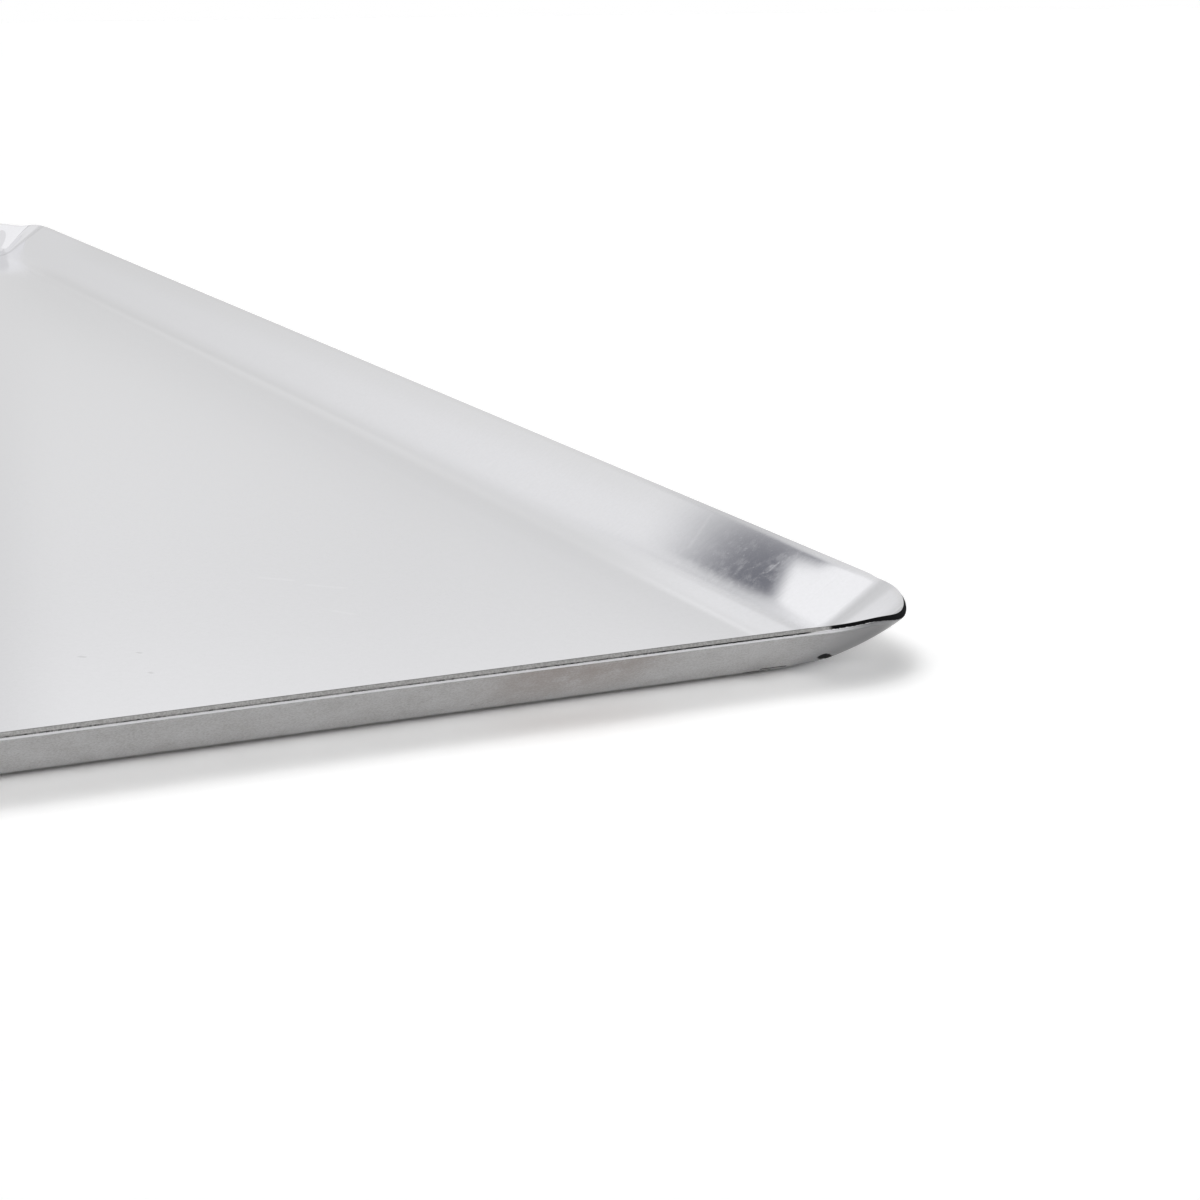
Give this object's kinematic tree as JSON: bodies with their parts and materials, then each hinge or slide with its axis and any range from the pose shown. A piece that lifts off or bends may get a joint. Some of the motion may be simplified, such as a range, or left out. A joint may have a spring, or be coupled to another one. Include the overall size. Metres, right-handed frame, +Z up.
{
  "type": "cookie sheet",
  "caption": "Flat rectangular baking sheet pressed from bright stainless sheet, with a low flared rim on every side and scooped, rounded corners.",
  "frame": {"origin": "centre of the underside, on the surface that the sheet rests on", "axes": "+X along the long sides, +Y along the short sides, +Z up out of the sheet"},
  "size_m": [0.6, 0.4, 0.01],
  "materials": {
    "bright_stainless": "bright annealed stainless sheet, close to a mirror, with fine handling marks and a sheared free edge"
  },
  "bodies": {
    "root": {"pressed_sheet": "bright_stainless"}
  },
  "joints": []
}
